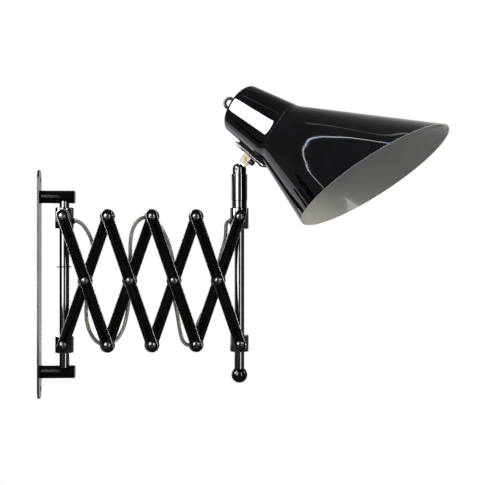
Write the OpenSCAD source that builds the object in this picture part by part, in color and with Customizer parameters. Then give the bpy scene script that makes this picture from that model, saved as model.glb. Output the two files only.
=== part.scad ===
// Wall lamp on a scissor arm. A wall plate holds a vertical mast; four pairs of
// crossed arms reach out from it to a second upright, which carries a swivel, a
// tilting knuckle and a spun metal shade with a slanted mouth.
// Millimetres. The origin is the middle of the wall plate's back face, +X points
// out of the wall and +Z up. The arms lie on the -Y side of the two rods.

/* [Wall plate] */
// Distance that the wall plate reaches beyond the axis of each post
plate_reach = 32.5; // [26:0.5:55]
// Width of the wall plate and of its round ends
plate_w = 23; // [18:0.5:40]
// Thickness of the wall plate
plate_t = 2.4; // [1.5:0.1:5]
// Distance from a wall screw hole to the plate's nearer end
hole_inset = 12.5; // [9:0.5:14]
// Diameter of a wall screw hole
hole_d = 6.6; // [4:0.1:9]

/* [Mast and posts] */
// Distance from the wall to the mast's axis
mast_x = 31; // [28:0.5:60]
// Least space between the lower collar and the lower post, as the lamp stands
slider_gap = 15; // [11:0.5:40]
// Diameter of a post
post_d = 15.6; // [14.5:0.1:17]
// Length of a post beyond the mast's axis
post_end = 13; // [10:0.5:20]
// Diameter of the spigot that rivets a post into the plate
spigot_d = 8; // [5:0.5:12]
// Bevel on the free end of a post
post_bevel = 0.9; // [0.3:0.1:2]
// Diameter of the mast and of the outer rod
rod_d = 12; // [11:0.1:12.6]
// Bore of the mast and of the outer rod
rod_bore = 8; // [6:0.1:9]
// Depth that the mast enters a post beyond the post's axis
mast_depth = 4; // [2:0.5:5]
// Diameter of the stop ring and of the ring under the upper collar
ring_d = 17; // [15:0.1:17.6]
// Thickness of those two rings
ring_t = 1.2; // [0.8:0.1:2]

/* [Collars] */
// Diameter of the four collars
collar_d = 22.6; // [21:0.1:26]
// Height of the two upper collars
collar_h = 25.4; // [23:0.1:30]
// Height of the two sliding collars
slider_h = 20; // [16:0.5:24]
// Gap between the upper post and the collar under it
collar_gap = 4.9; // [2:0.1:8]
// Distance from an upper collar's top to its pivot
pivot_drop = 11; // [9.5:0.5:13]
// Diameter of the flat boss that an arm bears on
boss_d = 12; // [8:0.5:16]
// Height of that boss above the collar's round face
boss_proud = 0.7; // [0.4:0.1:2]
// Bevel on the collars' rims
collar_bevel = 0.6; // [0.2:0.1:1.2]
// Diameter of the cable grommet in an upper collar
grommet_d = 7; // [6:0.1:8]
// Distance of the cable hole below the upper pivots
cable_hole_drop = 5.1; // [4.5:0.1:6]

/* [Scissor] */
// Distance between the two end pivots of an arm
arm_l = 162; // [154:0.5:168]
// Angle of each arm from the vertical, as the lamp stands
rest_angle = 19; // [14:0.5:30]
// Largest angle of each arm from the vertical, where the slider meets its stop
open_angle = 64; // [50:1:68]
// Width of an arm
arm_w = 13.6; // [11:0.1:14.5]
// Thickness of an arm
arm_t = 2; // [1.5:0.1:3]
// Straight length of an arm beyond its end pivots
arm_end = 2.2; // [0:0.1:4]
// Diameter of the washers between crossed arms
washer_d = 18; // [14:0.5:20]
// Thickness of those washers
washer_t = 1.5; // [0.8:0.1:3]
// Diameter of a pivot screw's shank
pin_d = 5; // [3:0.1:6]
// Diameter of a pivot screw's domed head
head_d = 9; // [7:0.1:11]
// Height of that head
head_h = 2.6; // [1.5:0.1:3.5]
// Width across the flats of a pivot nut
nut_w = 8; // [7:0.1:9.4]
// Thickness of a pivot nut
nut_t = 2.4; // [1.6:0.1:2.4]
// Diameter of the rubber keepers that hold the cable behind the pivots
keeper_d = 11; // [10:0.1:11.4]
// Thickness of a keeper
keeper_t = 6.4; // [6:0.1:7]
// Diameter of the cable
cable_d = 4.6; // [3.5:0.1:4.7]

/* [Outer upright] */
// Diameter of the ball at the bottom of the outer rod
ball_d = 19.5; // [15:0.5:24]
// Distance from the lower pivots to the ball's middle, as the lamp stands
ball_drop = 38.5; // [36:0.5:50]
// Diameter of the stem's foot, on the upper collar
foot_d = 18.5; // [15:0.1:19]
// Height of that foot
foot_h = 9.2; // [5:0.1:15]
// Diameter of the stem's sleeve
sleeve_d = 19.3; // [17:0.1:22]
// Height of that sleeve
sleeve_h = 31.9; // [28:0.1:40]
// Diameter of the swivel cap
cap_d = 16.5; // [15.6:0.1:18]
// Height of the swivel cap
cap_h = 12.9; // [12:0.1:14]
// Rounding of the swivel cap's shoulder
cap_round = 6; // [4:0.1:6.5]
// Diameter of the cap's spigot in the sleeve
cap_spigot_d = 10; // [8:0.1:11]
// Length of that spigot
cap_spigot_l = 18; // [10:0.5:20]
// Height of the tilt pin above the cap's bottom
tilt_rise = 6.1; // [5.8:0.1:6.6]

/* [Knuckle and bracket] */
// Turn of the head towards the viewer, as the lamp stands
rest_yaw = 31; // [0:1:60]
// Fall of the shade's axis below the horizontal, as the lamp stands
head_tilt = 32.2; // [10:0.1:50]
// Diameter of the knuckle's eye
eye_d = 9.2; // [8:0.1:9.4]
// Thickness of that eye
eye_t = 6; // [4:0.1:7]
// Diameter of the tilt pin
tilt_pin_d = 4; // [2.5:0.1:4.6]
// Width of the knuckle's shank
shank_w = 7; // [5:0.1:7.4]
// Distance from the tilt pin to the knuckle's hexagon
hex_start = 9.2; // [9:0.1:10.5]
// Width of that hexagon across its flats
hex_w = 11; // [9:0.1:12]
// Distance from the tilt pin to the underside of the bracket
bracket_w0 = 21.9; // [20.5:0.1:26]
// Length of the bracket behind the knuckle
bracket_back = 22.3; // [18:0.1:26]
// Length of the bracket in front of the knuckle
bracket_front = 24.9; // [24:0.1:28]
// Width of the bracket
bracket_width = 14; // [10:0.5:20]
// Thickness of the bracket's lower plate
bracket_t = 2; // [1.2:0.1:3]
// Thickness of the shim on it
shim_t = 1.2; // [0.6:0.1:2]
// Thickness of the saddle between the shim and the neck
saddle_t = 2.7; // [1.5:0.1:5]
// Width of the saddle
saddle_w = 16; // [12:0.5:24]
// Distance of the rear bracket screw behind the knuckle
screw_back = 11.1; // [9.8:0.1:16]
// Distance of the front bracket screw from the bracket's front end
screw_inset = 5.3; // [4.5:0.1:6.5]
// Diameter of a bracket screw's head
bracket_head_d = 6.2; // [4.5:0.1:7.5]
// Diameter of a bracket screw's shank
bracket_screw_d = 3.4; // [2.5:0.1:4]
// Diameter of the thumb screw's head
thumb_d = 6.6; // [5:0.1:8]
// Length of the thumb screw's head
thumb_l = 5.6; // [3:0.1:5.8]

/* [Shade] */
// Radius of the neck at its back
neck_r1 = 30.7; // [28:0.1:33]
// Radius of the neck where the flare begins
neck_r2 = 39.4; // [37:0.1:42]
// Length of the neck
neck_l = 68.7; // [66:0.1:80]
// Rounding of the neck's back edge
back_round = 5.5; // [4:0.5:10]
// Radius of the hollow blend from the neck to the flare
blend_r = 40; // [20:1:60]
// Angle of the flare from the shade's axis
flare = 22.1; // [18:0.1:24]
// Distance along the axis from the neck to the mouth
mouth_s = 117.8; // [100:0.5:125]
// Slant of the mouth
mouth_slant = 24.3; // [15:0.1:26]
// Thickness of the spun metal
wall_t = 1; // [0.7:0.1:1.6]
// Length of the neck in front of the bracket
neck_front = 0.3; // [0:0.1:4]
// Thickness of the wire loop on the back
loop_wire = 4; // [2.5:0.1:5]
// Radius of that loop at the middle of its wire
loop_r = 5.9; // [5:0.1:8]
// Distance from the neck's back to the loop's middle
loop_out = 15.5; // [10:0.5:20]
// Distance of the loop below the shade's axis
loop_low = 2.4; // [0:0.1:5]

/* [Lampholder] */
// Diameter of the lampholder's base
holder_base_d = 40; // [34:0.5:40]
// Height of that base
holder_base_h = 4; // [2:0.5:6]
// Diameter of the lampholder's barrel
holder_d = 37; // [33:0.5:40]
// Distance from the neck's back wall to the lampholder's mouth
holder_l = 50; // [44:0.5:56]
// Inner diameter of the screw shell that takes the lamp
shell_bore = 26.8; // [26:0.1:27.4]
// Thickness of the screw shell
shell_t = 0.8; // [0.5:0.1:1.2]
// Length of the screw shell
shell_l = 28; // [20:0.5:32]

/* [Hidden] */
$fn = 64;

// Clearances
run_gap = 0.06;     // radial, round a rod or pin that turns or slides
fit_gap = 0.05;     // radial, round a piece that stays put
face_gap = 0.15;    // between flat faces that turn on each other
soft_gap = 0.3;     // between a soft piece and a moving neighbour
cable_room = 0.5;   // radial, round the cable in a bare hole
cut = 1;            // how far a cutting tool passes its face

// Colours
black_chrome = [0.09, 0.09, 0.1];
chrome = [0.75, 0.76, 0.78];
steel = [0.66, 0.66, 0.68];
brass = [0.86, 0.78, 0.6];
rubber = [0.12, 0.12, 0.12];
clear_pvc = [0.78, 0.77, 0.73];
brown_rubber = [0.42, 0.27, 0.2];
ceramic = [0.92, 0.91, 0.88];

// Places of the scissor, as [x, z]; the posts' distance is rounded up to whole millimetres
pitch = arm_l * sin(rest_angle);
rise = arm_l * cos(rest_angle);
post_spacing = ceil(post_d + collar_gap + pivot_drop + rise + slider_h / 2 + slider_gap);
post_z = post_spacing / 2;
plate_h = post_spacing + 2 * plate_reach;
collar_top = post_z - post_d / 2 - collar_gap;
pivot_z = collar_top - pivot_drop;
collar_bottom = collar_top - collar_h;
outer_x = mast_x + 4 * pitch;
function top_pivot(i) = [mast_x + i * pitch, pivot_z];
function low_pivot(i) = [mast_x + i * pitch, pivot_z - rise];
function crossing(i) = [mast_x + (i - 0.5) * pitch, pivot_z - rise / 2];

// Layers of the scissor: distances from the rods' plane towards -Y
boss_y = collar_d / 2 + boss_proud;
back_y = boss_y + face_gap;
washer_y = back_y + arm_t + face_gap;
front_y = washer_y + washer_t + face_gap;
nut_y = boss_y - nut_t;
keeper_y = nut_y - keeper_t;
back_head_y = back_y + arm_t + face_gap;
front_head_y = front_y + arm_t + face_gap;
screw_tip_y = rod_d / 2 + cut;

// Heights on the outer upright
foot_z = collar_top;
sleeve_z = foot_z + foot_h;
cap_z = sleeve_z + sleeve_h;
tilt_z = cap_z + tilt_rise;
outer_rod_top = sleeve_z + foot_h;
ball_z = pivot_z - rise - ball_drop;
cable_hole_z = pivot_z - cable_hole_drop;

// The neck and bracket
screw_front = bracket_front - screw_inset;
neck_setback = neck_l - bracket_front - neck_front;
neck_taper = atan((neck_r2 - neck_r1) / neck_l);
bracket_tilt = head_tilt + neck_taper;
shim_w0 = bracket_w0 + bracket_t;
saddle_w0 = shim_w0 + shim_t;
neck_w0 = saddle_w0 + saddle_t;
saddle_inset = 3;
saddle_front = bracket_front - saddle_inset;
saddle_back = bracket_back - saddle_inset;
saddle_step = 2;

// The screws through the bracket and the knuckle
stud_d = 5;
thumb_shank_d = 3;
thumb_nub = 1.3;
thumb_w0 = (hex_start + bracket_w0) / 2 + 1;
bracket_nut_t = 2.4;

// Distance of the screw shell from the holder's mouth
shell_rim = 1;

// Middle lines of the cable, as [x, distance towards -Y, z]
cable_0_path = [
    [38.4, 0, 76.2], [43.6, 0, 76.2], [46.9, 0.1, 74.9], [49, 0.2, 72.8], [50.4, 0.3, 70.8]
];
cable_1_path = [
    [50.8, 0.3, 70.4], [58.8, 0.4, 60.5], [64.9, 0.6, 48], [66, 1.2, 37], [63.4, 3, 26],
    [59, 5.6, 16.5], [57.4, 6.4, 11], [57.4, 6.4, 4], [57.4, 6.4, -3], [58.2, 6.4, -18],
    [57.7, 6.4, -32], [58.6, 6.4, -44], [62, 6.4, -56], [68.3, 6.4, -66.3], [74.2, 6.4, -70.8],
    [78.2, 6.4, -71.9]
];
cable_2_path = [
    [88.9, 6.4, -69], [94.6, 6.4, -65], [100.5, 6.4, -56], [104.8, 6.4, -43], [107.9, 6.4, -25],
    [109.6, 6.4, -10], [110.1, 6.4, -1], [110.1, 6.4, 10.5], [110.2, 6.4, 26], [110.2, 6.4, 40],
    [110.6, 6.4, 52], [112.4, 6.4, 63], [116.8, 6.4, 73.2], [123.5, 6.4, 79.3], [130.9, 6.4, 81]
];
cable_3_path = [
    [140.2, 6.4, 76.7], [147.8, 6.4, 67], [155.5, 6.4, 51.5], [160.3, 6.4, 33.5], [162.5, 6.4, 18],
    [162.9, 6.4, 10.5], [162.9, 6.4, -1], [163.5, 6.4, -19], [166.8, 6.4, -37], [169.9, 6.4, -56],
    [173.4, 6.4, -68], [178.4, 6.4, -72.8], [183.7, 6.4, -72.6]
];
cable_4_path = [
    [188.6, 6.4, -66], [189.4, 6.4, -54], [195.5, 6.4, -38], [204.5, 6.4, -22], [212.4, 6.4, -9],
    [215.6, 6.4, -1.2], [215.6, 6.4, 10.6], [216.6, 6.4, 25], [219.8, 6, 38], [223.2, 4.6, 49.5],
    [224.9, 2.8, 57.5], [225.2, 1.1, 64.4]
];
cable_5_path = [
    [225.6, 0.8, 65.4], [225.8, 0.4, 71.8], [226.9, 0.1, 74.8], [229.3, 0, 76.2], [234.7, 0, 76.2]
];

// ---------------------------------------------------------------- helpers

// A plate drawn in x and z, from distance y0 to y0 + t towards -Y
module plate_xz(y0, t) {
    translate([0, -y0, 0]) rotate([90, 0, 0]) linear_extrude(t) children();
}

// A disc on an axis along Y through p, from distance y0 to y1 towards -Y
module disc_xz(p, d, y0, y1, sides = 0) {
    translate([p[0], -y0, p[1]]) rotate([90, 0, 0])
        cylinder(h = y1 - y0, d = d, $fn = sides > 0 ? sides : $fn);
}

// Half outline of a dome of radius r and height h on a rim of height r0
function dome(r, h, r0) = concat(
    [[0, 0], [r, 0]],
    [for (a = [0:15:75]) [r * cos(a), r0 + (h - r0) * sin(a)]],
    [[0, h]]
);

// A round bar with bevelled ends, from z = 0 to h
module bevelled_bar(d, h, bevel) {
    rotate_extrude() polygon([
        [0, 0], [d / 2 - bevel, 0], [d / 2, bevel],
        [d / 2, h - bevel], [d / 2 - bevel, h], [0, h]
    ]);
}

// A tube swept along points, with its ends cut square to start and end where
// those are given, and square to the path elsewhere
sides = 10;
function unit(v) = v / norm(v);
function flip(p) = [for (q = p) [q[0], -q[1], q[2]]];
function heading(p, i) = unit(p[min(i + 1, len(p) - 1)] - p[max(i - 1, 0)]);
function ring_of(p, i, r, face) =
    let (t = heading(p, i), e1 = unit(cross(t, [0, 1, 0])), e2 = cross(t, e1))
    [for (k = [0:sides - 1])
        let (e = r * (cos(360 * k / sides) * e1 + sin(360 * k / sides) * e2))
        p[i] + e - t * (e * face) / (t * face)];

module cable(path, start = undef, end = undef) {
    p = flip(path);
    n = len(p);
    points = [for (i = [0:n - 1]) each ring_of(p, i, cable_d / 2,
        i == 0 && !is_undef(start) ? start :
        i == n - 1 && !is_undef(end) ? end : heading(p, i))];
    walls = [for (i = [0:n - 2], k = [0:sides - 1], h = [0, 1])
        let (a = i * sides + k, b = i * sides + (k + 1) % sides)
        h == 0 ? [a, b, a + sides] : [b, b + sides, a + sides]];
    caps = [
        [for (k = [0:sides - 1]) sides - 1 - k],
        [for (k = [0:sides - 1]) (n - 1) * sides + k]
    ];
    polyhedron(points, concat(walls, caps), convexity = 8);
}

// Direction from a pivot to a path's point, which faces the pivot's axis
function away(pivot, q) = unit([q[0] - pivot[0], 0, q[2] - pivot[1]]);
function first(path) = path[0];
function last(path) = path[len(path) - 1];

// ---------------------------------------------------------------- wall bracket

module wall_plate() {
    mid = (plate_h - plate_w) / 2;
    color(chrome) rotate([90, 0, 90]) difference() {
        union() {
            translate([-plate_w / 2, -mid, 0]) cube([plate_w, 2 * mid, plate_t]);
            for (s = [-1, 1]) translate([0, s * mid, 0]) cylinder(h = plate_t, d = plate_w);
        }
        for (s = [-1, 1]) {
            translate([0, s * (plate_h / 2 - hole_inset), -cut]) cylinder(h = plate_t + 2 * cut, d = hole_d);
            translate([0, s * post_z, -cut])
                cylinder(h = plate_t + 2 * cut, d = spigot_d + 2 * fit_gap);
        }
    }
}

// A post on the side s of the middle, +1 above and -1 below
module post(s) {
    color(black_chrome) difference() {
        translate([0, 0, s * post_z]) rotate([0, 90, 0]) union() {
            cylinder(h = plate_t + cut, d = spigot_d);
            translate([0, 0, plate_t]) rotate_extrude() polygon([
                [0, 0], [post_d / 2, 0],
                [post_d / 2, mast_x + post_end - plate_t - post_bevel],
                [post_d / 2 - post_bevel, mast_x + post_end - plate_t],
                [0, mast_x + post_end - plate_t]
            ]);
        }
        translate([mast_x, 0, s * post_z - s * (post_d - mast_depth) / 2])
            cylinder(h = post_d + mast_depth, d = rod_d + 2 * fit_gap, center = true);
    }
}

module mast() {
    half = post_z + mast_depth - run_gap;
    window_h = 8;
    color(chrome) translate([mast_x, 0, 0]) difference() {
        cylinder(h = 2 * half, d = rod_d, center = true);
        cylinder(h = 2 * half + 2 * cut, d = rod_bore, center = true);
        translate([0, -rod_d / 2, cable_hole_z - window_h / 2]) cube([rod_d, rod_d, window_h]);
    }
}

// A snap ring on the mast, with its bottom at z
module rod_ring(z) {
    color(steel) translate([mast_x, 0, z]) difference() {
        cylinder(h = ring_t, d = ring_d);
        translate([0, 0, -cut]) cylinder(h = ring_t + 2 * cut, d = rod_d + 2 * fit_gap);
    }
}

module stop_ring() {
    rod_ring(pivot_z - arm_l * cos(open_angle) + slider_h / 2 + 2 * face_gap);
}

module thrust_ring() {
    rod_ring(collar_bottom + 2 * face_gap);
}

// ---------------------------------------------------------------- collars

// A collar of height h on a rod at x, from z up, with the arm's boss at pivot
module collar_body(x, z, h, pivot, gap) {
    difference() {
        union() {
            translate([x, 0, z]) bevelled_bar(collar_d, h, collar_bevel);
            disc_xz(pivot, boss_d, 0, boss_y);
        }
        translate([x, 0, z - cut]) cylinder(h = h + 2 * cut, d = rod_d + 2 * gap);
        disc_xz(pivot, pin_d + 2 * fit_gap, 0, boss_y + cut);
    }
}

// The hole for a grommet, from the rod's axis outwards
module cable_hole(x, side, d) {
    translate([x, 0, cable_hole_z]) rotate([0, side * 90, 0]) cylinder(h = collar_d, d = d);
}

module collar_left() {
    color(chrome) difference() {
        collar_body(mast_x, collar_bottom, collar_h, top_pivot(0), run_gap);
        cable_hole(mast_x, 1, grommet_d + 2 * fit_gap);
        translate([mast_x, 0, collar_bottom - cut])
            cylinder(h = cut + ring_t + 3 * face_gap, d = ring_d + 2 * face_gap);
    }
}

module collar_right() {
    color(chrome) difference() {
        collar_body(outer_x, collar_bottom, collar_h, top_pivot(4), fit_gap);
        cable_hole(outer_x, -1, grommet_d + 2 * fit_gap);
    }
}

module slider(i) {
    p = low_pivot(i);
    color(chrome) collar_body(p[0], p[1] - slider_h / 2, slider_h, p, run_gap);
}

module grommet(x, side) {
    grommet_l = 4.8;
    start = collar_d / 2 + cut - grommet_l;
    color(brown_rubber) translate([x, 0, cable_hole_z]) rotate([0, side * 90, 0])
        translate([0, 0, start]) difference() {
            cylinder(h = grommet_l, d = grommet_d);
            translate([0, 0, -cut]) cylinder(h = grommet_l + 2 * cut, d = cable_d + 2 * fit_gap);
        }
}

// ---------------------------------------------------------------- scissor

// An arm from pivot p to pivot q, in the layer that starts at y0
module arm(p, q, y0) {
    l = norm(q - p);
    a = atan2(q[1] - p[1], q[0] - p[0]);
    color(black_chrome) difference() {
        plate_xz(y0, arm_t) translate(p) rotate(a) union() {
            translate([-arm_end, -arm_w / 2]) square([l + 2 * arm_end, arm_w]);
            for (x = [-arm_end, l + arm_end]) translate([x, 0]) circle(d = arm_w);
        }
        for (h = [p, (p + q) / 2, q]) disc_xz(h, pin_d + 2 * run_gap, y0 - cut, y0 + arm_t + cut);
    }
}

module front_arm(i) {
    arm(top_pivot(i - 1), low_pivot(i), front_y);
}

module back_arm(i) {
    arm(low_pivot(i - 1), top_pivot(i), back_y);
}

// A domed screw head with a cross recess, on p with its flat face at y0
module screw_head(p, y0) {
    cross_w = 1.1;
    cross_l = 0.6 * head_d;
    cross_depth = 1.1;
    translate([p[0], -y0, p[1]]) rotate([90, 0, 0]) difference() {
        rotate_extrude() polygon(dome(head_d / 2, head_h, head_h / 4));
        for (size = [[cross_w, cross_l], [cross_l, cross_w]])
            translate([-size[0] / 2, -size[1] / 2, head_h - cross_depth])
                cube([size[0], size[1], head_h]);
    }
}

// Screw, washer and nut that join a front arm to a back arm at each point
module pivots(points) {
    color(steel) for (p = points) {
        union() {
            screw_head(p, front_head_y);
            disc_xz(p, pin_d, nut_y, front_head_y + cut / 2);
        }
        difference() {
            disc_xz(p, washer_d, washer_y, washer_y + washer_t);
            disc_xz(p, pin_d + 2 * fit_gap, washer_y - cut, washer_y + washer_t + cut);
        }
        difference() {
            disc_xz(p, nut_w / cos(30), nut_y, boss_y, 6);
            disc_xz(p, pin_d + 2 * fit_gap, nut_y - cut, boss_y + cut);
        }
    }
}

// Screw that joins a back arm to a collar
module back_collar_pivot(p) {
    color(steel) union() {
        screw_head(p, back_head_y);
        disc_xz(p, pin_d, screw_tip_y, back_head_y + cut / 2);
    }
}

// Screw that joins a front arm to a collar, with the spacer under that arm
module front_collar_pivot(p) {
    color(steel) {
        union() {
            screw_head(p, front_head_y);
            disc_xz(p, pin_d, screw_tip_y, front_head_y + cut / 2);
        }
        difference() {
            union() {
                disc_xz(p, boss_d, boss_y, washer_y + washer_t);
                disc_xz(p, washer_d, washer_y, washer_y + washer_t);
            }
            disc_xz(p, pin_d + 2 * fit_gap, boss_y - cut, washer_y + washer_t + cut);
        }
    }
}

// Rubber keepers behind the nuts: drilled along Z where the cable runs through,
// whole where two stretches of cable meet
module keepers(drilled, whole) {
    color(rubber) {
        for (p = drilled) difference() {
            disc_xz(p, keeper_d, keeper_y, nut_y);
            translate([p[0], -(keeper_y + keeper_t / 2), p[1]])
                cylinder(h = 2 * keeper_d, d = cable_d + 2 * fit_gap, center = true);
        }
        for (p = whole) disc_xz(p, keeper_d, keeper_y, nut_y);
    }
}

module cable_0() {
    color(clear_pvc) cable(cable_0_path, end = away(top_pivot(0), last(cable_0_path)));
}

module cable_1() {
    color(clear_pvc) cable(cable_1_path,
        start = away(top_pivot(0), first(cable_1_path)),
        end = -away(low_pivot(1), last(cable_1_path)));
}

module cable_2() {
    color(clear_pvc) cable(cable_2_path,
        start = away(low_pivot(1), first(cable_2_path)),
        end = -away(top_pivot(2), last(cable_2_path)));
}

module cable_3() {
    color(clear_pvc) cable(cable_3_path,
        start = away(top_pivot(2), first(cable_3_path)),
        end = -away(low_pivot(3), last(cable_3_path)));
}

module cable_4() {
    color(clear_pvc) cable(cable_4_path,
        start = away(low_pivot(3), first(cable_4_path)),
        end = -away(top_pivot(4), last(cable_4_path)));
}

module cable_5() {
    color(clear_pvc) cable(cable_5_path, start = -away(top_pivot(4), first(cable_5_path)));
}

// ---------------------------------------------------------------- outer upright

module outer_rod() {
    color(chrome) translate([outer_x, 0, 0]) difference() {
        translate([0, 0, ball_z]) cylinder(h = outer_rod_top - ball_z, d = rod_d);
        translate([0, 0, ball_z - cut]) cylinder(h = outer_rod_top - ball_z + 2 * cut, d = rod_bore);
        translate([0, 0, cable_hole_z]) rotate([0, -90, 0])
            cylinder(h = rod_d, d = cable_d + 2 * cable_room);
    }
}

module ball() {
    color(black_chrome) translate([outer_x, 0, ball_z]) difference() {
        sphere(d = ball_d, $fn = 96);
        cylinder(h = ball_d, d = rod_d + 2 * fit_gap);
    }
}

module stem_foot() {
    color(chrome) translate([outer_x, 0, foot_z]) difference() {
        bevelled_bar(foot_d, foot_h, collar_bevel / 2);
        translate([0, 0, -cut]) cylinder(h = foot_h + 2 * cut, d = rod_d + 2 * fit_gap);
    }
}

module stem_sleeve() {
    color(chrome) translate([outer_x, 0, sleeve_z]) difference() {
        bevelled_bar(sleeve_d, sleeve_h, collar_bevel / 2);
        translate([0, 0, -cut]) cylinder(h = foot_h + cut + fit_gap, d = rod_d + 2 * fit_gap);
        translate([0, 0, -cut]) cylinder(h = sleeve_h + 2 * cut, d = cap_spigot_d + 2 * run_gap);
    }
}

// The frame of the swivel: origin on the tilt pin, x along the head
module swivel_frame() {
    translate([outer_x, 0, tilt_z]) rotate([0, 0, -rest_yaw]) children();
}

module swivel_cap() {
    r = cap_d / 2;
    slot_r = eye_d / 2 + soft_gap;
    spigot_bore = 6;
    color(chrome) swivel_frame() difference() {
        union() {
            translate([0, 0, face_gap - tilt_rise]) rotate_extrude() polygon(concat(
                [[0, 0], [r, 0]],
                [for (a = [0:10:90]) [r - cap_round + cap_round * cos(a),
                                      cap_h - face_gap - cap_round + cap_round * sin(a)]],
                [[0, cap_h - face_gap]]
            ));
            translate([0, 0, -tilt_rise - cap_spigot_l])
                cylinder(h = cap_spigot_l + 2 * face_gap, d = cap_spigot_d);
        }
        translate([-slot_r, -eye_t / 2 - face_gap, -slot_r])
            cube([2 * cap_d, eye_t + 2 * face_gap, cap_d]);
        translate([0, 0, -tilt_rise - cap_spigot_l - cut])
            cylinder(h = tilt_rise + cap_spigot_l + cut, d = spigot_bore);
        rotate([90, 0, 0]) cylinder(h = 2 * cap_d, d = tilt_pin_d + 2 * fit_gap, center = true);
    }
}

module tilt_pin() {
    color(steel) swivel_frame() rotate([90, 0, 0])
        cylinder(h = cap_d - 2 * soft_gap, d = tilt_pin_d, center = true);
}

// ---------------------------------------------------------------- head

// The frame of the bracket: origin on the tilt pin, x along the bracket, z up
// through it to the neck
module bracket_frame() {
    swivel_frame() rotate([0, bracket_tilt, 0]) children();
}

// From the bracket's frame to the shade's: origin in the middle of the neck's
// back, z along the shade's axis, x down
module neck_place() {
    translate([-neck_setback - neck_r1 * sin(neck_taper), 0, neck_w0 + neck_r1 * cos(neck_taper)])
        rotate([0, 90 - neck_taper, 0]) children();
}

module knuckle() {
    color(brass) bracket_frame() difference() {
        union() {
            rotate([90, 0, 0]) cylinder(h = eye_t, d = eye_d, center = true);
            translate([-shank_w / 2, -eye_t / 2, 0]) cube([shank_w, eye_t, hex_start + cut / 2]);
            translate([0, 0, hex_start]) rotate([0, 0, 30])
                cylinder(h = bracket_w0 - hex_start, d = hex_w / cos(30), $fn = 6);
            translate([0, 0, hex_start]) cylinder(h = saddle_w0 - hex_start, d = stud_d);
        }
        rotate([90, 0, 0]) cylinder(h = 2 * eye_t, d = tilt_pin_d + 2 * run_gap, center = true);
        thumb_axis() cylinder(h = 2 * hex_w, d = thumb_shank_d + 2 * fit_gap, center = true);
    }
}

// Axis of the thumb screw, in the bracket's frame
module thumb_axis() {
    translate([0, 0, thumb_w0]) rotate([0, 90, 0]) children();
}

module thumb_screw() {
    color(rubber) bracket_frame() thumb_axis() union() {
        translate([0, 0, hex_w / 2 + fit_gap])
            bevelled_bar(thumb_d, thumb_l, collar_bevel);
        translate([0, 0, -hex_w / 2 - thumb_nub])
            cylinder(h = hex_w + thumb_nub + cut, d = thumb_shank_d);
    }
}

// A strip of the bracket from height w0, with holes for the screws and knuckle
module bracket_strip(w0, t, width) {
    bracket_frame() difference() {
        translate([-bracket_back, -width / 2, w0]) cube([bracket_back + bracket_front, width, t]);
        for (x = [-screw_back, screw_front]) translate([x, 0, w0 - cut])
            cylinder(h = t + 2 * cut, d = bracket_screw_d + 2 * fit_gap);
        translate([0, 0, w0 - cut]) cylinder(h = t + 2 * cut, d = stud_d + 2 * fit_gap);
    }
}

module bracket_plate() {
    color(chrome) bracket_strip(bracket_w0, bracket_t, bracket_width);
}

module bracket_shim() {
    color(chrome) bracket_strip(shim_w0, shim_t, bracket_width - 2);
}

// Pad between the bracket and the neck: wide in front of the knuckle, narrow behind
module saddle() {
    narrow = saddle_w / 2;
    neck = shade_line(-fit_gap, mouth_s);
    color(rubber) bracket_frame() difference() {
        union() {
            translate([saddle_step, -saddle_w / 2, saddle_w0])
                cube([saddle_front - saddle_step, saddle_w, saddle_t + cut]);
            translate([-saddle_back, -narrow / 2, saddle_w0])
                cube([saddle_back + saddle_step + cut, narrow, saddle_t + cut]);
        }
        neck_place() rotate_extrude($fn = 128) polygon(concat(neck, [[0, last(neck)[1]]]));
        for (x = [-screw_back, screw_front]) translate([x, 0, saddle_w0 - cut])
            cylinder(h = saddle_t + 3 * cut, d = bracket_screw_d + 2 * fit_gap);
    }
}

module bracket_screws() {
    shank_l = neck_w0 - bracket_w0 + wall_t + bracket_nut_t + 1.5 * cut;
    nut_w0 = neck_w0 + wall_t / cos(neck_taper) + soft_gap;
    rim = 0.6;
    dome_h = bracket_head_d / 3;
    slot_w = 0.9;
    slot_depth = 0.8;
    color(steel) bracket_frame() for (x = [-screw_back, screw_front]) translate([x, 0, 0]) {
        union() {
            translate([0, 0, bracket_w0 - fit_gap]) mirror([0, 0, 1]) difference() {
                rotate_extrude() polygon(dome(bracket_head_d / 2, dome_h, rim));
                translate([-slot_w / 2, -bracket_head_d, dome_h - slot_depth])
                    cube([slot_w, 2 * bracket_head_d, slot_depth + cut]);
            }
            translate([0, 0, bracket_w0 - cut]) cylinder(h = shank_l + cut, d = bracket_screw_d);
        }
        translate([0, 0, nut_w0]) difference() {
            cylinder(h = bracket_nut_t, d = 2 * bracket_screw_d, $fn = 6);
            translate([0, 0, -cut])
                cylinder(h = bracket_nut_t + 2 * cut, d = bracket_screw_d + 2 * fit_gap);
        }
    }
}

// Outline of the shade's wall at depth inset from its outer face, as [r, z]
function shade_line(inset, reach) =
    let (
        back_c = [neck_r1 + back_round * (tan(neck_taper) - 1 / cos(neck_taper)), back_round],
        tangent = blend_r * tan((flare - neck_taper) / 2),
        joint = [neck_r2 - tangent * sin(neck_taper), neck_l - tangent * cos(neck_taper)],
        blend_c = joint + blend_r * [cos(neck_taper), -sin(neck_taper)],
        flare_start = blend_c - (blend_r + inset) * [cos(flare), -sin(flare)]
    )
    concat(
        [[0, inset]],
        [for (k = [0:8]) let (a = -90 + k * (90 - neck_taper) / 8)
            back_c + (back_round - inset) * [cos(a), sin(a)]],
        [for (k = [0:5]) let (a = neck_taper + k * (flare - neck_taper) / 5)
            blend_c - (blend_r + inset) * [cos(a), -sin(a)]],
        [flare_start + reach * [sin(flare), cos(flare)]]
    );

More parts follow.
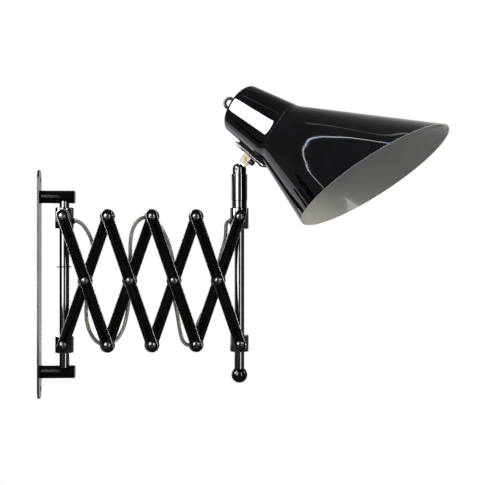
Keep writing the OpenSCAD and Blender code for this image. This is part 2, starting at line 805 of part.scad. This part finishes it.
module shade() {
    outer = shade_line(0, 2 * mouth_s);
    inner = shade_line(wall_t, 2 * mouth_s);
    back = [for (k = [len(inner) - 1:-1:0]) inner[k]];
    tool = 6 * mouth_s;
    color(black_chrome) bracket_frame() difference() {
        neck_place() difference() {
            rotate_extrude($fn = 128) polygon(concat(outer, back));
            translate([0, 0, neck_l + mouth_s]) rotate([0, mouth_slant, 0])
                translate([-tool / 2, -tool / 2, 0]) cube([tool, tool, tool]);
            for (s = [-1, 1]) translate([loop_low + s * loop_r, 0, -cut])
                cylinder(h = wall_t + 2 * cut, d = loop_wire + 2 * fit_gap);
        }
        for (x = [-screw_back, screw_front]) translate([x, 0, saddle_w0])
            cylinder(h = saddle_t + 4 * cut + wall_t, d = bracket_screw_d + 2 * fit_gap);
    }
}

module shade_loop() {
    color(black_chrome) bracket_frame() neck_place() translate([loop_low, 0, 0]) union() {
        translate([0, 0, -loop_out]) rotate([-90, 0, 0])
            rotate_extrude(angle = 180) translate([loop_r, 0]) circle(d = loop_wire, $fn = 32);
        for (s = [-1, 1]) translate([s * loop_r, 0, -loop_out])
            cylinder(h = loop_out + 2 * wall_t, d = loop_wire, $fn = 32);
    }
}

module lampholder() {
    shell_d = shell_bore + 2 * shell_t;
    well = shell_l + 2 * shell_rim;
    color(ceramic) bracket_frame() neck_place() translate([0, 0, wall_t]) difference() {
        union() {
            cylinder(h = holder_base_h, d = holder_base_d);
            cylinder(h = holder_l, d = holder_d);
        }
        translate([0, 0, holder_l - well]) cylinder(h = well + cut, d = shell_d + 2 * fit_gap);
        for (s = [-1, 1]) translate([loop_low + s * loop_r, 0, -cut])
            cylinder(h = 3 * cut + wall_t, d = loop_wire + 2 * cut);
    }
}

module lamp_shell() {
    color(brass) bracket_frame() neck_place()
        translate([0, 0, wall_t + holder_l - shell_l - shell_rim]) difference() {
            cylinder(h = shell_l, d = shell_bore + 2 * shell_t);
            translate([0, 0, -cut]) cylinder(h = shell_l + 2 * cut, d = shell_bore);
        }
}

// ---------------------------------------------------------------- parts

wall_plate();
post(1);  // post_upper
post(-1);  // post_lower
mast();
stop_ring();
thrust_ring();
collar_left();
front_collar_pivot(top_pivot(0));  // pivot_t0
grommet(mast_x, 1);  // grommet_left
cable_0();
front_arm(1);  // arm_f1
pivots([crossing(1), low_pivot(1)]);  // pivots_f1
keepers([crossing(1)], [low_pivot(1)]);  // keepers_f1
cable_1();
back_arm(1);  // arm_b1
slider(0);  // slider_left
back_collar_pivot(low_pivot(0));  // pivot_s0
back_arm(2);  // arm_b2
pivots([crossing(2), top_pivot(2)]);  // pivots_b2
keepers([crossing(2)], [top_pivot(2)]);  // keepers_b2
cable_2();
front_arm(2);  // arm_f2
pivots([top_pivot(1), low_pivot(2)]);  // pivots_f2
front_arm(3);  // arm_f3
pivots([crossing(3), low_pivot(3)]);  // pivots_f3
keepers([crossing(3)], [low_pivot(3)]);  // keepers_f3
cable_3();
back_arm(3);  // arm_b3
back_arm(4);  // arm_b4
pivots([crossing(4)]);  // pivots_b4
keepers([crossing(4)], []);  // keepers_b4
cable_4();
front_arm(4);  // arm_f4
pivots([top_pivot(3)]);  // pivots_f4
slider(4);  // slider_right
front_collar_pivot(low_pivot(4));  // pivot_s4
collar_right();
back_collar_pivot(top_pivot(4));  // pivot_t4
grommet(outer_x, -1);  // grommet_right
cable_5();
outer_rod();
ball();
stem_foot();
stem_sleeve();
swivel_cap();
tilt_pin();
knuckle();
thumb_screw();
bracket_plate();
bracket_shim();
saddle();
bracket_screws();
shade();
shade_loop();
lampholder();
lamp_shell();
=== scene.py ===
import bpy, bmesh, math
from mathutils import Matrix, Vector


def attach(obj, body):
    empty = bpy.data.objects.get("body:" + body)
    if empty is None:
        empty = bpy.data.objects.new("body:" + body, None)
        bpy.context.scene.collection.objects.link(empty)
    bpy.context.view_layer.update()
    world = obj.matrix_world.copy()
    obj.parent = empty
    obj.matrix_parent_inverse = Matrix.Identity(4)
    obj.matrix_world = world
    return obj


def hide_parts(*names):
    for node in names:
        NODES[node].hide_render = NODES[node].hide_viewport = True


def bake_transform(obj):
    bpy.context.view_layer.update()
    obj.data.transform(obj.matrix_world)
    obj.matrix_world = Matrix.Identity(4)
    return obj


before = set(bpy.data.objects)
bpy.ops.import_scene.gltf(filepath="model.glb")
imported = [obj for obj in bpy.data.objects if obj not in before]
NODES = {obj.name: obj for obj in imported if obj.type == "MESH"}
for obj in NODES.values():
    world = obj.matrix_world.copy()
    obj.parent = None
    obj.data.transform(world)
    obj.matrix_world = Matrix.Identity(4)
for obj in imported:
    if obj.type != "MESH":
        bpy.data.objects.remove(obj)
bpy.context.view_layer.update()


def place(name, data):
    """A new object in the scene."""
    ob = bpy.data.objects.new(name, data)
    bpy.context.scene.collection.objects.link(ob)
    return ob


def place_mesh(name, bm):
    """A new mesh object in the scene, made of a bmesh that isn't needed any more."""
    me = bpy.data.meshes.new(name)
    bm.to_mesh(me)
    bm.free()
    return place(name, me)


# ------------------------------------------------------------------ camera
# At 485 x 485 the lens is 970 pixels long
SENSOR, LENS = 36.0, 72.0
LOOK_TURN = math.radians(3.5)
LOOK_AT = Vector((0.2448, -0.016, 0.0504))
CAMERA_AWAY = 1.164

cam_data = bpy.data.cameras.new("camera")
cam_data.sensor_width = SENSOR
cam_data.lens = LENS
cam_data.clip_start, cam_data.clip_end = 0.01, 50
cam = place("camera", cam_data)
look = Vector((math.sin(LOOK_TURN), math.cos(LOOK_TURN), 0))
cam.location = LOOK_AT - CAMERA_AWAY * look
cam.rotation_mode = "QUATERNION"
cam.rotation_quaternion = look.to_track_quat("-Z", "Y")
bpy.context.scene.camera = cam
bpy.context.scene.view_settings.view_transform = "Standard"


# ------------------------------------------------------------------ world
WORLD_LIGHT = 0.13     # on matt surfaces; the background itself is white


def background_rays(nodes, links):
    """1 for camera, glossy and transmission rays, which see the pale background."""
    path = nodes.new("ShaderNodeLightPath")
    out = path.outputs["Is Camera Ray"]
    for kind in ("Is Glossy Ray", "Is Transmission Ray"):
        larger = nodes.new("ShaderNodeMath")
        larger.operation = "MAXIMUM"
        links.new(out, larger.inputs[0])
        links.new(path.outputs[kind], larger.inputs[1])
        out = larger.outputs[0]
    return out


world = bpy.data.worlds.new("studio")
bpy.context.scene.world = world
world.use_nodes = True
wn, wl = world.node_tree.nodes, world.node_tree.links
wn.clear()
mix = wn.new("ShaderNodeMixShader")
wl.new(background_rays(wn, wl), mix.inputs[0])
for socket, colour, strength in ((1, (0.97, 0.98, 1, 1), WORLD_LIGHT), (2, (1, 1, 1, 1), 1.0)):
    surround = wn.new("ShaderNodeBackground")
    surround.inputs["Color"].default_value = colour
    surround.inputs["Strength"].default_value = strength
    wl.new(surround.outputs[0], mix.inputs[socket])
wl.new(mix.outputs[0], wn.new("ShaderNodeOutputWorld").inputs[0])

# ------------------------------------------------------------------ lamps
NECK_AT = Vector((0.262, -0.012, 0.195))
STEM_AT = Vector((0.242, 0, 0.08))
MOUTH_AT = Vector((0.35, -0.02, 0.10))


def toward(az, el):
    """Unit vector: az 0 to the front and 90 to the right, el above the horizon."""
    a, e = math.radians(az), math.radians(el)
    return Vector((math.sin(a) * math.cos(e), -math.cos(a) * math.cos(e), math.sin(e)))


def ends(about, a, b, distance):
    """The points at a distance from one point in two directions, each (az, el)."""
    return [Vector(about) + distance * toward(*d) for d in (a, b)]


def lamp(name, at, facing, wide, size, radiance, colour=(1, 1, 1), gloss=True, spread=180):
    """A softbox at one point and facing another; wide is the direction of its width.
    It shows in gloss only, or where gloss is off, it lights matt surfaces only."""
    data = bpy.data.lights.new(name, "AREA")
    data.shape = "RECTANGLE"
    data.size, data.size_y = size
    data.energy = radiance * math.pi * size[0] * size[1]
    data.color = colour
    data.spread = math.radians(spread)
    ob = place(name, data)
    at = Vector(at)
    z = (at - Vector(facing)).normalized()
    x = Vector(wide)
    x = (x - z * x.dot(z)).normalized()
    y = z.cross(x)
    ob.matrix_world = Matrix((x, y, z)).transposed().to_4x4()
    ob.location = at
    ob.visible_camera = False
    ob.visible_diffuse = not gloss
    ob.visible_glossy = gloss


def strip(name, about, a, b, distance, width, radiance):
    """A softbox that shows in gloss, between two directions round a point."""
    p, q = ends(about, a, b, distance)
    lamp(name, (p + q) / 2, about, q - p, ((q - p).length, width), radiance)


# Soft light for the colours
lamp("fill_front", at=(1.2, -0.95, 0.62), facing=(0.3, -0.02, 0.08), wide=(1, 0, 0),
     size=(0.9, 0.8), radiance=3.2, gloss=False)
lamp("fill_top", at=(0.2, -0.2, 1.3), facing=(0.22, -0.02, 0.06), wide=(1, 0, 0),
     size=(1.2, 0.9), radiance=0.6, gloss=False)
lamp("key_mouth", at=MOUTH_AT + 1.3 * toward(80, 12), facing=MOUTH_AT, wide=(0, 1, 0),
     size=(0.8, 0.7), radiance=0.8, colour=(1, 0.97, 0.9), gloss=False, spread=40)
# Highlights on the dark metal
strip("box_left", STEM_AT, (-39, -8), (-39, 32), distance=1.3, width=0.66, radiance=60)
strip("box_right", STEM_AT, (28, -20), (28, 30), distance=1.2, width=0.26, radiance=50)
strip("box_edge", (0.15, 0, 0), (90, 10), (90, 30), distance=1.5, width=0.4, radiance=45)
strip("box_behind", NECK_AT, (-119, -19), (-153, -17), distance=0.6, width=0.32, radiance=4.5)
strip("box_plate", (0, 0, 0.05), (-10.5, -11), (-10.5, 20), distance=1.25, width=0.08,
      radiance=34)


# ------------------------------------------------------------------ bright shapes
def between(a, b, ta, tb, t):
    """From a at ta to b at tb."""
    return a * (tb - t) / (tb - ta) + b * (t - ta) / (tb - ta)


def smooth_path(points, steps=8):
    """A centripetal curve through the points, in so many steps from each to the next."""
    p = [Vector(q) for q in points]
    p = [2 * p[0] - p[1]] + p + [2 * p[-1] - p[-2]]
    path = []
    for p0, p1, p2, p3 in zip(p, p[1:], p[2:], p[3:]):
        t0 = 0
        t1 = t0 + (p1 - p0).length ** 0.5
        t2 = t1 + (p2 - p1).length ** 0.5
        t3 = t2 + (p3 - p2).length ** 0.5
        for k in range(steps):
            t = t1 + (t2 - t1) * k / steps
            a1 = between(p0, p1, t0, t1, t)
            a2 = between(p1, p2, t1, t2, t)
            a3 = between(p2, p3, t2, t3, t)
            b1 = between(a1, a2, t0, t2, t)
            b2 = between(a2, a3, t1, t3, t)
            path.append(between(b1, b2, t1, t2, t))
    path.append(p[-2])
    return path


def tangent(path, i):
    """The direction of a path at its point i."""
    return (path[min(i + 1, len(path) - 1)] - path[max(i - 1, 0)]).normalized()


def shine(name, bm, strength, colour=(1, 1, 1)):
    """A bright surface that only gloss shows."""
    m = bpy.data.materials.new(name)
    m.use_nodes = True
    nodes = m.node_tree.nodes
    nodes.clear()
    light = nodes.new("ShaderNodeEmission")
    light.inputs["Color"].default_value = (*colour, 1)
    light.inputs["Strength"].default_value = strength
    m.node_tree.links.new(light.outputs[0], nodes.new("ShaderNodeOutputMaterial").inputs[0])
    ob = place_mesh(name, bm)
    ob.data.materials.append(m)
    ob.visible_camera = ob.visible_diffuse = ob.visible_shadow = False
    ob.visible_transmission = ob.visible_volume_scatter = False


BOX_CORNERS, BOX_ROUNDNESS = 48, 0.6     # 0 is a rectangle and 1 an ellipse


def round_box(name, about, a, b, distance, width, strength):
    """A softbox with round corners, between two directions round a point."""
    p, q = ends(about, a, b, distance)
    c, x = (p + q) / 2, (q - p) / 2
    y = x.cross(c - Vector(about)).normalized() * width / 2
    bm = bmesh.new()
    ring = []
    for k in range(BOX_CORNERS):
        turn = 2 * math.pi * k / BOX_CORNERS
        u, v = (math.copysign(abs(w) ** BOX_ROUNDNESS, w) for w in (math.cos(turn), math.sin(turn)))
        ring.append(bm.verts.new(c + u * x + v * y))
    bm.faces.new(ring)
    shine(name, bm, strength)


LINE_STEPS = 6


def glow_line(name, points, widths, strength, colour=(1, 1, 1)):
    """The bright edge of a backdrop, through the points in metres, with a width at each."""
    path = smooth_path(points, LINE_STEPS)
    widths = [*widths, widths[-1]]
    bm = bmesh.new()
    rows = []
    for i, p in enumerate(path):
        k, step = divmod(i, LINE_STEPS)
        width = widths[k] + (widths[k + 1] - widths[k]) * step / LINE_STEPS
        side = tangent(path, i).cross(NECK_AT - p).normalized() * width / 2
        rows.append((bm.verts.new(p - side), bm.verts.new(p + side)))
    for a, b in zip(rows, rows[1:]):
        bm.faces.new((a[0], a[1], b[1], b[0]))
    shine(name, bm, strength, colour)


# The neck's highlight, and the three lines on the shade
round_box("box_neck", NECK_AT, (-77, 2.5), (-59, 45), distance=1.8, width=0.44, strength=190)
glow_line("backdrop_rim",
          [(-1.227, 0.141, 0.354), (-1.24, 0.150, 0.48), (-1.195, 0.072, 0.675),
           (-1.092, 0.000, 0.929), (-0.935, -0.030, 1.168), (-0.708, 0.005, 1.393),
           (-0.441, 0.085, 1.559), (-0.155, 0.185, 1.644), (0.068, 0.235, 1.666)],
          (0.006, 0.005, 0.0035, 0.003, 0.003, 0.004, 0.005, 0.006, 0.006), strength=80)
glow_line("backdrop_warm",
          [(-0.286, 0.282, 1.627), (0.0, 0.40, 1.65), (0.187, 0.42, 1.65), (0.47, 0.64, 1.54)],
          (0.012,) * 4, strength=9, colour=(1, 0.8, 0.62))
glow_line("backdrop_top",
          [(-0.35, -0.35, 1.69), (-0.2, -0.31, 1.73), (-0.09, -0.31, 1.74)],
          (0.02,) * 3, strength=9)

# ------------------------------------------------------------------ floor
FLOOR_R, FLOOR_X, FLOOR_Z = 0.85, 0.2, -0.55

bm = bmesh.new()
bmesh.ops.create_circle(bm, cap_ends=True, segments=96, radius=FLOOR_R)
for v in bm.verts:
    v.co.z = FLOOR_Z
    v.co.x += FLOOR_X
floor = place_mesh("floor", bm)


# ------------------------------------------------------------------ materials
class Mat:
    """A procedural material on one Principled shader, with its patterns fixed to the object."""

    def __init__(self, name, **sockets):
        self.made = bpy.data.materials.new(name)
        self.made.use_nodes = True
        self.nodes, self.links = self.made.node_tree.nodes, self.made.node_tree.links
        self.bsdf = self.nodes["Principled BSDF"]
        for socket, value in sockets.items():
            self.bsdf.inputs[socket.replace("_", " ")].default_value = value
        self.coord = self.nodes.new("ShaderNodeTexCoord").outputs["Object"]

    def noise(self, scale, detail=4.0, rough=0.5):
        t = self.nodes.new("ShaderNodeTexNoise")
        t.inputs["Scale"].default_value = scale
        t.inputs["Detail"].default_value = detail
        t.inputs["Roughness"].default_value = rough
        self.links.new(self.coord, t.inputs["Vector"])
        return t.outputs["Fac"]

    def ramp(self, fac, *stops):
        """Each of the two stops is a place in the noise and the colour or grey there."""
        r = self.nodes.new("ShaderNodeValToRGB")
        for e, (position, col) in zip(r.color_ramp.elements, stops):
            e.position = position
            e.color = (*col, 1) if isinstance(col, tuple) else (col, col, col, 1)
        self.links.new(fac, r.inputs[0])
        return r.outputs[0]

    def to(self, out, socket):
        self.links.new(out, self.bsdf.inputs[socket])

    def roughness(self, scale, low, high):
        self.to(self.ramp(self.noise(scale, 6, 0.65), (0.3, low), (0.75, high)), "Roughness")

    def bump(self, fac, strength, distance):
        b = self.nodes.new("ShaderNodeBump")
        b.inputs["Strength"].default_value = strength
        b.inputs["Distance"].default_value = distance
        self.links.new(fac, b.inputs["Height"])
        self.to(b.outputs[0], "Normal")


WAVE_SCALE, WAVE_DEPTH, GRAIN_DEPTH = 18, 0.0004, 0.0002


def metal(name, dark, light, rough, graze, scale=60, wave=0.12):
    """Plated metal: colour from dark to light and roughness within rough, both by noise.
    graze is the tint at glancing angles, and wave the strength of the slow waves."""
    m = Mat(name, Metallic=1.0, Specular_Tint=(graze, graze, graze, 1))
    m.to(m.ramp(m.noise(scale), (0.35, dark), (0.7, light)), "Base Color")
    m.roughness(scale * 4, *rough)
    m.bump(m.noise(WAVE_SCALE, 2), wave, WAVE_DEPTH)
    return m.made


def painted(name, dark, light, rough, gloss, scale, grain, bump=0.15):
    """Paint, rubber or plastic: colour from dark to light and roughness within rough, both by
    noise, with a fine grain of its own scale."""
    m = Mat(name, Specular_IOR_Level=gloss)
    m.to(m.ramp(m.noise(scale), (0.3, dark), (0.72, light)), "Base Color")
    m.roughness(scale * 3, *rough)
    m.bump(m.noise(grain, 3), bump, GRAIN_DEPTH)
    return m.made


BLACK = metal("black_chrome", 0.004, 0.007, rough=(0.03, 0.08), graze=0.6)
SHADE = metal("shade_black", (0.0056, 0.0059, 0.0066), (0.0080, 0.0092, 0.0118),
              rough=(0.012, 0.04), graze=0.62, scale=25, wave=0.06)
DARK = metal("dark_chrome", (0.0175, 0.0177, 0.0180), (0.0210, 0.0213, 0.0218),
             rough=(0.055, 0.065), graze=0.65, wave=0.004)
CHROME = metal("chrome", (0.10, 0.101, 0.104), (0.16, 0.161, 0.165),
               rough=(0.06, 0.12), graze=0.8, wave=0.02)
STEEL = metal("zinc_steel", (0.008, 0.0078, 0.0074), (0.032, 0.031, 0.029),
              rough=(0.14, 0.30), graze=0.7, scale=500)
# Lighter metals for rounded edges: a painted highlight along the edges, on top of the lamps' real
# reflections in the bevels
SHEEN_DIM = metal("edge_sheen_soft", (0.010, 0.010, 0.0102), (0.022, 0.022, 0.0225),
             rough=(0.05, 0.15), graze=0.6, scale=300)
SHEEN_BRIGHT = metal("edge_sheen_strong", 0.042, 0.058, rough=(0.14, 0.18), graze=0.6, wave=0.0)
PLATE = metal("plate_metal", (0.013, 0.0132, 0.0137), (0.017, 0.0172, 0.0178),
              rough=(0.12, 0.15), graze=0.62, scale=40, wave=0.002)
# Light grey for the shade's rim: a painted highlight along the mouth's edge
RIM_SHEEN = painted("rim_sheen_paint", (0.42, 0.42, 0.41), (0.7, 0.7, 0.69),
               rough=(0.2, 0.35), gloss=0.2, scale=300, grain=1500)
BRASS = metal("pale_brass", (0.36, 0.29, 0.20), (0.84, 0.76, 0.63),
              rough=(0.12, 0.25), graze=0.9, scale=260)
RUBBER = painted("black_rubber", 0.008, 0.018,
                 rough=(0.45, 0.6), gloss=0.004, scale=300, grain=1500)
BROWN = painted("brown_rubber", (0.16, 0.06, 0.035), (0.26, 0.11, 0.07),
                rough=(0.4, 0.55), gloss=0.15, scale=300, grain=1500)
PVC = painted("clear_pvc", (0.42, 0.387, 0.338), (0.49, 0.456, 0.404),
              rough=(0.30, 0.34), gloss=0.035, scale=120, grain=60, bump=0.01)
INSIDE = painted("satin_inside", (0.30, 0.295, 0.275), (0.36, 0.353, 0.33),
                 rough=(0.08, 0.11), gloss=0.045, scale=9, grain=900, bump=0.02)
ENAMEL = painted("black_enamel", 0.004, 0.007,
                 rough=(0.08, 0.16), gloss=0.012, scale=90, grain=200, bump=0.02)
PHENOLIC = painted("phenolic", (0.018, 0.014, 0.012), (0.035, 0.028, 0.024),
                   rough=(0.25, 0.4), gloss=0.15, scale=90, grain=500)

# What the floor adds for the rays that see the background, so that it is nearly as pale;
# it lights no matt surface
FLOOR_GLOW = 0.42

paper = Mat("floor_paper", Roughness=0.9, Emission_Color=(1, 1, 1, 1))
paper.to(paper.ramp(paper.noise(3, 2), (0.3, 0.83), (0.7, 0.87)), "Base Color")
glow = paper.nodes.new("ShaderNodeMath")
glow.operation = "MULTIPLY"
paper.links.new(background_rays(paper.nodes, paper.links), glow.inputs[0])
glow.inputs[1].default_value = FLOOR_GLOW
paper.to(glow.outputs[0], "Emission Strength")
floor.data.materials.append(paper.made)

# The CAD pieces that wear each material
FINISH = {
    DARK: "mast outer_rod stem_sleeve swivel_cap collar_left collar_right slider_left "
          "slider_right stem_foot",
    PLATE: "wall_plate",
    CHROME: "tilt_pin bracket_shim",
    ENAMEL: "post_upper post_lower",
    BLACK: "bracket_plate thrust_ring ball shade_loop thumb_screw "
           "arm_f1 arm_f2 arm_f3 arm_f4 arm_b1 arm_b2 arm_b3 arm_b4",
    STEEL: "pivot_t0 pivot_s0 pivot_s4 pivot_t4 pivots_f1 pivots_b2 pivots_f2 pivots_f3 "
           "pivots_b4 pivots_f4 bracket_screws",
    BRASS: "knuckle lamp_shell",
    RUBBER: "keepers_f1 keepers_b2 keepers_f3 keepers_b4 saddle stop_ring grommet_left",
    BROWN: "grommet_right",
    PHENOLIC: "lampholder",
    PVC: "cable_0 cable_1 cable_2 cable_3 cable_4 cable_5",
    SHADE: "shade",
}
for mat, names in FINISH.items():
    for name in names.split():
        for slot in NODES[name].material_slots:
            slot.material = mat


# ------------------------------------------------------------------ edges of CAD pieces
def bevel(ob, name, width, segments, angle):
    """Rounds the edges that are sharper than an angle in degrees."""
    b = ob.modifiers.new(name, "BEVEL")
    b.width, b.segments, b.limit_method = width, segments, "ANGLE"
    b.angle_limit = math.radians(angle)
    b.harden_normals = True
    return b


WELD_WITHIN = 1e-6


def soften(name, width, segments, mat=None):
    """Rounds a CAD piece's sharp edges a little, so that they catch the light; a given material
    goes on the rounding as a lighter metal, a painted highlight.
    """
    ob = NODES[name]
    if mat:
        ob.data.materials.append(mat)
    ob.modifiers.new("weld", "WELD").merge_threshold = WELD_WITHIN
    b = bevel(ob, "soften", width, segments, angle=40)
    if mat:
        b.material = len(ob.data.materials) - 1


# Front arms get the brighter painted edge highlight, back arms the dimmer one
for layer, mat in (("f", SHEEN_BRIGHT), ("b", SHEEN_DIM)):
    for i in range(1, 5):
        soften(f"arm_{layer}{i}", width=0.0006, segments=3, mat=mat)
for name in ("post_upper", "post_lower"):
    soften(name, width=0.0008, segments=3)
for name in ("bracket_plate", "collar_left", "collar_right", "slider_left", "slider_right"):
    soften(name, width=0.0004, segments=2, mat=SHEEN_DIM)

# ------------------------------------------------------------------ shade
# The sizes of part.scad, in millimetres
REST_YAW, HEAD_TILT = math.radians(31), math.radians(32.2)
NECK_R1, NECK_R2, NECK_L = 30.7, 39.4, 68.7
TAPER = math.atan((NECK_R2 - NECK_R1) / NECK_L)
FLARE, SLANT = math.radians(22.1), math.radians(24.3)
BACK_ROUND, BLEND_R, MOUTH_S, WALL_T = 5.5, 40.0, 117.8, 1.0
TILT_PIN = Vector((241.968, 0, 139.5))
NECK_SETBACK = 43.5
# From the tilt pin to the bracket, then the bracket's, the shim's and the saddle's thickness
NECK_W0 = 21.9 + 2 + 1.2 + 2.7
TO_METRES = Matrix.Scale(0.001, 4)

# How finely the shade's skin is made: rings on the flat back, vertices in a ring, and rows of
# faces along the back's rounding, the neck, the blend and the flare
FLAT_RINGS = (6, 12, 17)
AROUND, BACK_ROWS, NECK_ROWS, BLEND_ROWS, FLARE_ROWS = 192, 12, 8, 8, 24
TURN = [(math.cos(a), math.sin(a)) for a in (2 * math.pi * i / AROUND for i in range(AROUND))]

swivel_m = Matrix.Translation(TILT_PIN) @ Matrix.Rotation(-REST_YAW, 4, "Z")
bracket_m = swivel_m @ Matrix.Rotation(HEAD_TILT + TAPER, 4, "Y")
neck_m = (bracket_m
          @ Matrix.Translation((-NECK_SETBACK - NECK_R1 * math.sin(TAPER), 0,
                                NECK_W0 + NECK_R1 * math.cos(TAPER)))
          @ Matrix.Rotation(math.pi / 2 - TAPER, 4, "Y"))


def profile(inset):
    """(r, z) rows of the shade's wall from its back to the start of the flare."""
    # Middles of the back's rounding and of the hollow blend before the flare
    cr, cz = NECK_R1 + BACK_ROUND * (math.tan(TAPER) - 1 / math.cos(TAPER)), BACK_ROUND
    t = BLEND_R * math.tan((FLARE - TAPER) / 2)
    br = NECK_R2 - t * math.sin(TAPER) + BLEND_R * math.cos(TAPER)
    bz = NECK_L - t * math.cos(TAPER) - BLEND_R * math.sin(TAPER)
    convex, hollow = BACK_ROUND - inset, BLEND_R + inset
    rows = [(r, inset) for r in (*FLAT_RINGS, cr - 1.5)]
    for k in range(BACK_ROWS + 1):
        a = -math.pi / 2 + k * (math.pi / 2 - TAPER) / BACK_ROWS
        rows.append((cr + convex * math.cos(a), cz + convex * math.sin(a)))
    r0, z0 = rows[-1]
    r1, z1 = br - hollow * math.cos(TAPER), bz + hollow * math.sin(TAPER)
    for k in range(1, NECK_ROWS + 1):
        rows.append((r0 + (r1 - r0) * k / NECK_ROWS, z0 + (z1 - z0) * k / NECK_ROWS))
    for k in range(1, BLEND_ROWS + 1):
        a = TAPER + k * (FLARE - TAPER) / BLEND_ROWS
        rows.append((br - hollow * math.cos(a), bz + hollow * math.sin(a)))
    return rows


def mesh_object(name, bm, mats):
    """A smooth piece of the object, with these materials in its slots."""
    bmesh.ops.recalc_face_normals(bm, faces=bm.faces)
    ob = place_mesh(name, bm)
    for f in ob.data.polygons:
        f.use_smooth = True
    for mat in mats:
        ob.data.materials.append(mat)
    return ob


def band(bm, p, q, slot):
    """The faces between two rings of vertices."""
    for i in range(AROUND):
        j = (i + 1) % AROUND
        bm.faces.new((p[i], q[i], q[j], p[j])).material_index = slot


def skin(bm, inset, slot):
    """One side of the wall; returns its vertices round the mouth."""
    rows = profile(inset)
    rings = [[bm.verts.new((r * c, r * s, z)) for c, s in TURN] for r, z in rows]
    r0, z0 = rows[-1]
    for k in range(1, FLARE_ROWS + 1):
        ring = []
        for c, s in TURN:
            # the flare's line meets the slanted mouth at length reach
            n = math.sin(SLANT) * c
            reach = (((NECK_L + MOUTH_S - z0) * math.cos(SLANT) - r0 * n)
                     / (math.cos(FLARE) * math.cos(SLANT) + math.sin(FLARE) * n))
            along = reach * k / FLARE_ROWS
            r, z = r0 + along * math.sin(FLARE), z0 + along * math.cos(FLARE)
            ring.append(bm.verts.new((r * c, r * s, z)))
        rings.append(ring)
    middle = bm.verts.new((0, 0, inset))
    for i in range(AROUND):
        fan = bm.faces.new((middle, rings[0][i], rings[0][(i + 1) % AROUND]))
        fan.material_index = slot
    for p, q in zip(rings, rings[1:]):
        band(bm, p, q, slot)
    return rings[-1]


bm = bmesh.new()
outer, inner = skin(bm, 0.0, 0), skin(bm, WALL_T, 1)
# The rim band between the two skins (slot 2) wears the painted rim highlight
band(bm, outer, inner, 2)
bm.transform(TO_METRES @ neck_m)
shade = mesh_object("spun_shade", bm, [SHADE, INSIDE, RIM_SHEEN])
bevel(shade, "rim", width=0.0002, segments=2, angle=60)
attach(shade, "head")
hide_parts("shade")

# ------------------------------------------------------------------ cable
CABLE_R, CABLE_SIDES = 2.28, 20


def tube(name, points):
    """A round tube of cable, closed at both ends, along points in millimetres."""
    path = smooth_path(points)
    bm = bmesh.new()
    rings = []
    side = Vector((0, 1, 0))
    for i, p in enumerate(path):
        t = tangent(path, i)
        e1 = (side - t * side.dot(t)).normalized()
        e2 = t.cross(e1)
        rings.append([bm.verts.new(p + CABLE_R * (math.cos(a) * e1 + math.sin(a) * e2))
                      for a in (2 * math.pi * k / CABLE_SIDES for k in range(CABLE_SIDES))])
    for a, b in zip(rings, rings[1:]):
        for k in range(CABLE_SIDES):
            j = (k + 1) % CABLE_SIDES
            bm.faces.new((a[k], a[j], b[j], b[k]))
    bm.faces.new(rings[0])
    bm.faces.new(rings[-1])
    bm.transform(TO_METRES)
    return mesh_object(name, bm, [PVC])


def route(*points):
    """Points as x, distance towards -Y and z, in millimetres."""
    return [(x, -y, z) for x, y, z in points]


path_0 = route((38.4, 0, 76.2), (43.2, 0, 76.3), (47.4, 0.1, 75.5), (51, 0.2, 73.4),
               (54.6, 0.3, 69.8), (60.4, 0.4, 60.5), (64.9, 0.6, 48), (66, 1.2, 37),
               (63.4, 3, 26), (59, 5.6, 16.5), (57.4, 6.4, 11), (57.4, 6.4, 4),
               (57.4, 6.4, -3), (58.2, 6.4, -18), (57.7, 6.4, -32), (58.6, 6.4, -44),
               (62, 6.4, -56), (68.3, 6.4, -66.3), (74.2, 6.4, -70.8), (78.2, 6.4, -71.9))
path_1 = route((88.9, 6.4, -69), (94.6, 6.4, -65), (100.5, 6.4, -56), (104.8, 6.4, -43),
               (107.9, 6.4, -25), (109.6, 6.4, -10), (110.1, 6.4, -1), (110.1, 6.4, 10.5),
               (110.2, 6.4, 26), (110.2, 6.4, 40), (110.6, 6.4, 52), (112.4, 6.4, 63),
               (116.8, 6.4, 73.2), (123.5, 6.4, 79.3), (130.9, 6.4, 81))
path_2 = route((140.2, 6.4, 76.7), (147.8, 6.4, 67), (155.5, 6.4, 51.5), (160.3, 6.4, 33.5),
               (162.5, 6.4, 18), (162.9, 6.4, 10.5), (162.9, 6.4, -1), (163.5, 6.4, -19),
               (166.8, 6.4, -37), (169.9, 6.4, -56), (173.4, 6.4, -68), (178.4, 6.4, -72.8),
               (183.7, 6.4, -72.6))
path_3 = route((188.6, 6.4, -66), (189.4, 6.4, -54), (195.5, 6.4, -38), (204.5, 6.4, -22),
               (212.4, 6.4, -9), (215.6, 6.4, -1.2), (215.6, 6.4, 10.6), (216.6, 6.4, 25),
               (219.8, 6, 38), (223.2, 4.6, 49.5), (224.9, 2.8, 57.5), (225.4, 1, 64.9),
               (225.8, 0.4, 71.8), (226.9, 0.1, 74.8), (229.3, 0, 76.2), (234.7, 0, 76.2))
first = tube("cable_from_mast", path_0)
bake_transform(first)
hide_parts("cable_0", "cable_1")
for name, points, body, node in (("cable_second", path_1, "back_2", "cable_2"),
                                 ("cable_third", path_2, "front_3", "cable_3")):
    piece = tube(name, points)
    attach(piece, body)
    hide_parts(node)
last = tube("cable_to_stem", path_3)
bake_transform(last)
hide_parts("cable_4", "cable_5")
